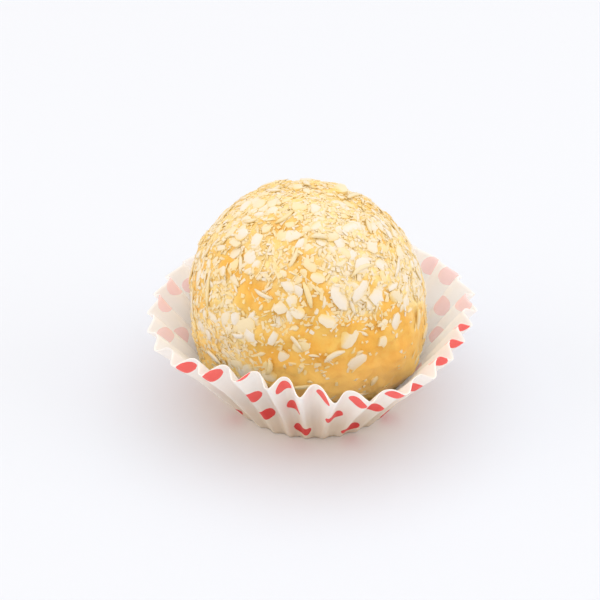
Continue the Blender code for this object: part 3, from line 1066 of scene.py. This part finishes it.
@dataclass(frozen=True)
class PaperCase:
    """Round base and fluted wall, pressed from one flat disc of dotted paper.

    Waves round it are given as (n, h, crest or phase): n of them, of height h. Crests are in
    degrees.
    """

    PRINT_MAP = "print"

    base_radius: float = 0.0120
    wall_length: float = 0.0200
    solid_paper: float = 0.0003
    thickening: float = 5.0
    paper: float = 0.00012
    rim_radius: float = 0.0239
    flutes: int = 30
    flute_depth: float = 0.00110
    base_flute_depth: float = 0.00025
    flare: float = 0.08
    first_fold: float = 282.5
    fold_fade: float = 0.8
    crest_breadth: float = 0.16
    rim_waves: RoundWaves = ((1, 0.0004, 199.0), (2, 0.0007, 152.0), (4, 0.0009, 24.0))
    crowding: RoundWaves = ((2, 0.55, 0.6), (5, 0.40, 2.1))
    depths: RoundWaves = ((3, 0.16, 1.0), (7, 0.12, 0.0))
    sides_per_flute: int = 24
    spacing_steps: int = 12
    bands: int = 44
    base_rings: int = 16
    crumple: Waves = Waves(0.0055, 61)
    crumple_height: float = 0.00005
    crumpled: Pair = (0.013, 0.020)
    dot_spacing: float = 0.0081
    dot_rows: float = 0.00705
    row_numbers: tuple[int, int] = (-4, 10)
    first_dot: Pair = (-0.0207, -0.0215)
    dot_clearance: float = 0.0052
    front_dots: tuple[Pair, ...] = (
        (-0.0250, -0.0172), (-0.0207, -0.0225), (-0.0159, -0.0288), (-0.0124, -0.0217),
        (-0.0089, -0.0160), (-0.0073, -0.0283), (-0.0043, -0.0219), (-0.0020, -0.0148),
        (0.0015, -0.0294), (0.0037, -0.0209), (0.0058, -0.0134), (0.0080, -0.0279),
        (0.0105, -0.0206), (0.0142, -0.0268), (0.0176, -0.0212), (0.0235, -0.0200),
        (0.0276, -0.0149), (0.0302, -0.0097), (0.0311, 0.0014), (0.0243, 0.0006),
        (0.0261, 0.0075), (0.0275, 0.0140), (0.0243, 0.0183), (-0.0291, 0.0096),
        (-0.0304, 0.0034), (-0.0286, -0.0040), (-0.0252, -0.0001),
    )
    finish: PaperFinish = PaperFinish()

    def rim(self, angle: Array) -> Array:
        """Distance of the rim from the centre line: a circle with a few low waves round it."""
        low = (h * np.cos(n * (angle - math.radians(crest))) for n, h, crest in self.rim_waves)
        return sum(low, np.full_like(angle, self.rim_radius))

    @staticmethod
    def sum_of_waves(waves_round: RoundWaves, angle: Array) -> Array:
        """Sum of sine waves round the case, at each angle."""
        return sum(h * np.sin(n * angle + phase) for n, h, phase in waves_round)

    def fold_turn(self, angle: Array) -> Array:
        """Turn of the folds up to each angle: a whole circle for each flute, unevenly spaced."""
        even = self.flutes * (angle - math.radians(self.first_fold))
        return even + self.sum_of_waves(self.crowding, angle)

    def angles(self) -> Array:
        """Angles of the wall's columns, spaced evenly in fold turn, closed in on step by step.

        Returns:
            The angles, in radians.
        """
        turns = np.arange(self.flutes * self.sides_per_flute) * FULL_TURN / self.sides_per_flute
        angle = turns / self.flutes + math.radians(self.first_fold)
        for _ in range(self.spacing_steps):
            angle = angle + (turns - self.fold_turn(angle)) / self.flutes
        return angle

    def wall(self, angle: Array, share: Array) -> Array:
        """Middle of the paper of the wall, share of the way from the base edge to the rim.

        The wall is as long as the flat paper, so it leans by the angle whose cosine is the
        rim's reach past the base over the wall's length. It bows out a little, and each fold
        moves it along its own normal by a cosine of the fold turn, less at the base.

        Args:
            angle: Angles round the case.
            share: Shares of the way up, from 0 to 1.

        Returns:
            Places in metres.
        """
        lean = np.arccos((self.rim(angle) - self.base_radius) / self.wall_length)
        bow = self.flare * (share - share**2)
        out = self.base_radius + self.wall_length * (np.cos(lean) * share - np.sin(lean) * bow)
        up = self.wall_length * (np.sin(lean) * share + np.cos(lean) * bow)
        turn = self.fold_turn(angle)
        wave = np.cos(turn) - self.crest_breadth * np.cos(2.0 * turn)
        wave = wave / (1.0 + self.crest_breadth / 2.0)
        uneven = 1.0 + self.sum_of_waves(self.depths, angle)
        depth = self.flute_depth * uneven * self.rim_radius / self.rim(angle)
        depth = depth * share**self.fold_fade * wave
        started = np.clip(share * self.thickening, 0.0, 1.0)
        moved = depth - self.solid_paper / 2.0 * started
        out = out - np.sin(lean) * moved - self.base_flute_depth * (1.0 - share) * wave
        up = up + np.cos(lean) * moved + Span(self.paper / 2.0, self.solid_paper).at(started)
        return places_round(out, angle, up)

    def sheet(self) -> tuple[Array, Array]:
        """Middle surface of the whole sheet, from the first ring of the base to the rim.

        Returns:
            Places as (rings, columns, 3), and the flat sheet's radius at each ring.
        """
        angle = self.angles()
        share = np.arange(self.bands + 1) / self.bands
        wall_share, wall_angle = np.meshgrid(share, angle, indexing="ij")
        wall = self.wall(wall_angle, wall_share)
        inward = np.arange(1, self.base_rings) / self.base_rings
        base = wall[0][None] * inward[:, None, None]
        base[..., 2] = self.paper / 2.0
        flat = (self.base_radius * inward, self.base_radius + self.wall_length * share)
        return np.concatenate((base, wall)), np.concatenate(flat)

    @staticmethod
    def normals(sheet: Array) -> Array:
        """Normals of the sheet that point outwards and down, from its differences both ways."""
        around = np.roll(sheet, -1, axis=1) - np.roll(sheet, 1, axis=1)
        return unit(np.cross(around, np.gradient(sheet, axis=0)))

    def flat_places(self, sheet: Array, flat_radius: Array) -> Array:
        """Where each point lay on the flat disc: at its ring's radius, by its share of the ring.

        The share of a ring is the length along its folds from the first column to the point,
        over the length all round.

        Args:
            sheet: Places as (rings, columns, 3).
            flat_radius: Radius of each ring on the disc.

        Returns:
            Places as (rings, columns, 2).
        """
        steps = np.linalg.norm(np.roll(sheet, -1, axis=1) - sheet, axis=-1)
        before = np.cumsum(steps, axis=1) - steps
        angle = self.angles()[0] + before / steps.sum(axis=1, keepdims=True) * FULL_TURN
        return places_round(flat_radius[:, None], angle)

    def dots(self) -> Array:
        """Centres of the printed dots on the flat disc: those of the front, and rows all over.

        A row's dots stand a spacing apart, and every second row is moved by half of that. Dots
        of the rows that fall too near one of the front's are left out.

        Returns:
            The centres, one to a row.
        """
        numbers = np.arange(*self.row_numbers)
        row, step = np.meshgrid(numbers, numbers, indexing="ij")
        x = self.first_dot[0] + self.dot_spacing * (step + 0.5 * (row % 2))
        y = self.first_dot[1] + self.dot_rows * row
        rows = np.stack((x.ravel(), y.ravel()), axis=1)
        front = np.array(self.front_dots)
        gaps = np.linalg.norm(rows[:, None] - front[None], axis=-1).min(axis=1)
        return np.concatenate((front, rows[gaps > self.dot_clearance]))

    def print_map(self, mesh: Mesh, places: Array) -> None:
        """Gives each face's corners their place from the centre of the dot nearest to the face.

        Args:
            mesh: The mesh.
            places: Flat place of each vertex.
        """
        corners = np.zeros(len(mesh.loops), np.int32)
        mesh.loops.foreach_get("vertex_index", corners)
        sizes = np.zeros(len(mesh.polygons), np.int32)
        mesh.polygons.foreach_get("loop_total", sizes)
        face = np.repeat(np.arange(len(sizes)), sizes)
        middle = [np.bincount(face, places[corners, axis]) / sizes for axis in (0, 1)]
        dots = self.dots()
        gaps = np.linalg.norm(np.stack(middle, axis=1)[:, None] - dots[None], axis=-1)
        offsets = places[corners] - dots[gaps.argmin(axis=1)][face]
        layer = mesh.uv_layers.new(name=self.PRINT_MAP)
        layer.data.foreach_set("uv", offsets.astype(np.float32).ravel())

    def build(self) -> Piece:
        """Makes the case: an inner and an outer skin, half the paper from its middle each way.

        The rings run from the middle of the base out and up the inner skin, over the rim, and
        down the outer skin back to the middle.

        Returns:
            The piece.
        """
        sheet, flat_radius = self.sheet()
        crumpled = self.crumple_height * smooth_step(*self.crumpled, flat_radius)[:, None]
        crumpled = crumpled * self.crumple.height(sheet)
        sheet = sheet + self.normals(sheet) * crumpled[..., None]
        normals = self.normals(sheet)
        normals[: self.base_rings - 1] = (0.0, 0.0, -1.0)
        inner = sheet - normals * self.paper / 2.0
        outer = sheet + normals * self.paper / 2.0
        outer[..., 2] = np.maximum(outer[..., 2], 0.0)
        poles = np.array([[0.0, 0.0, self.paper], [0.0, 0.0, 0.0]])
        points = np.concatenate((inner.reshape(-1, 3), outer[::-1].reshape(-1, 3), poles))
        rings, columns = sheet.shape[:2]
        faces = ring_faces(2 * rings, columns)
        mesh = build_mesh("folded_paper_case", points, faces, Shading.SOFT)
        flat = self.flat_places(sheet, flat_radius)
        places = np.concatenate((flat.reshape(-1, 2), flat[::-1].reshape(-1, 2), np.zeros((2, 2))))
        self.print_map(mesh, places)
        skins = np.repeat((0.0, 1.0), rings * columns)
        add_attribute(mesh, "outside", np.concatenate((skins, (0.0, 1.0))))
        return add_piece(mesh, self.finish.build(), Node.CASE)


# The studio


@dataclass(frozen=True)
class Lamp:
    """A round soft light that points at the object."""

    name: str
    place: Triple
    size: float
    power: float
    colour: Triple

    def build(self, target: Vector) -> None:
        """Makes the light.

        Args:
            target: Place that it points at.
        """
        data = bpy.data.lights.new(self.name, "AREA")
        data.shape = "DISK"
        data.size, data.energy, data.color = self.size, self.power, self.colour
        lamp = bpy.data.objects.new(self.name, data)
        lamp.location = self.place
        lamp.rotation_euler = (target - lamp.location).to_track_quat("-Z", "Y").to_euler()
        bpy.context.scene.collection.objects.link(lamp)


@dataclass(frozen=True)
class Studio:
    """Pale floor, soft light from above and from both sides, and the camera."""

    camera_height: float = 32.0
    camera_distance: float = 0.350
    camera_target: Triple = (-0.0021, 0.0, 0.01725)
    nearest: float = 0.01
    lens: float = 137.65
    sensor: float = 36.0
    floor_size: float = 3.0
    lamps: tuple[Lamp, ...] = (
        Lamp("key", (0.05, 0.06, 0.85), 1.6, 4.85, (0.83, 1.0, 1.14)),
        Lamp("left", (-0.78, -0.14, 0.30), 0.8, 1.5, (1.0, 0.92, 0.84)),
        Lamp("right", (0.78, -0.14, 0.30), 0.8, 1.45, (1.0, 0.93, 0.86)),
    )
    sky: Triple = (1.0, 0.80, 0.645)
    sky_strength: float = 0.92
    floor_finish: FloorFinish = FloorFinish()

    def build_floor(self) -> Piece:
        """Makes the floor, a square sheet that isn't part of the object.

        Returns:
            The floor.
        """
        signs = np.array([(-0.5, -0.5, 0.0), (0.5, -0.5, 0.0), (0.5, 0.5, 0.0), (-0.5, 0.5, 0.0)])
        face = np.arange(len(signs))[None]
        mesh = build_mesh("floor", signs * self.floor_size, [face], Shading.SOFT)
        mesh.materials.append(self.floor_finish.build())
        floor = bpy.data.objects.new("floor", mesh)
        bpy.context.scene.collection.objects.link(floor)
        return floor

    def build_light(self) -> None:
        """Makes the lamps and the even light all round."""
        for lamp in self.lamps:
            lamp.build(Vector(self.camera_target))
        world = bpy.data.worlds.new("studio")
        world.use_nodes = True
        background = world.node_tree.nodes["Background"]
        background.inputs["Color"].default_value = (*self.sky, 1.0)
        background.inputs["Strength"].default_value = self.sky_strength
        bpy.context.scene.world = world

    def build_camera(self) -> None:
        """Makes the camera, which looks along +Y and down at the object."""
        data = bpy.data.cameras.new("camera")
        data.lens, data.sensor_width, data.clip_start = self.lens, self.sensor, self.nearest
        camera = bpy.data.objects.new("camera", data)
        height = math.radians(self.camera_height)
        back = Vector((0.0, -math.cos(height), math.sin(height))) * self.camera_distance
        camera.location = Vector(self.camera_target) + back
        camera.rotation_euler = (math.pi / 2.0 - height, 0.0, 0.0)
        bpy.context.scene.collection.objects.link(camera)
        bpy.context.scene.camera = camera

    def build(self) -> Piece:
        """Makes floor, light and camera, and shows colours as they are.

        Returns:
            The floor.
        """
        floor = self.build_floor()
        self.build_light()
        self.build_camera()
        bpy.context.scene.view_settings.view_transform = "Standard"
        return floor


def report(piece: Piece) -> None:
    """Logs the name of a piece and the number of its triangles."""
    piece.data.calc_loop_triangles()
    LOG.info("%s: %d triangles", piece.name, len(piece.data.loop_triangles))


def main() -> None:
    """Dresses the part."""
    logging.basicConfig(level=logging.INFO, format="%(name)s: %(message)s")
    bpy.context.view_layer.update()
    ball = FudgeBall()
    coating = CoconutCoating(ball)
    report(ball.build(coating.cover_at))
    for piece in coating.build():
        report(piece)
    report(PaperCase().build())
    report(Studio().build())


if __name__ == "__main__":
    main()
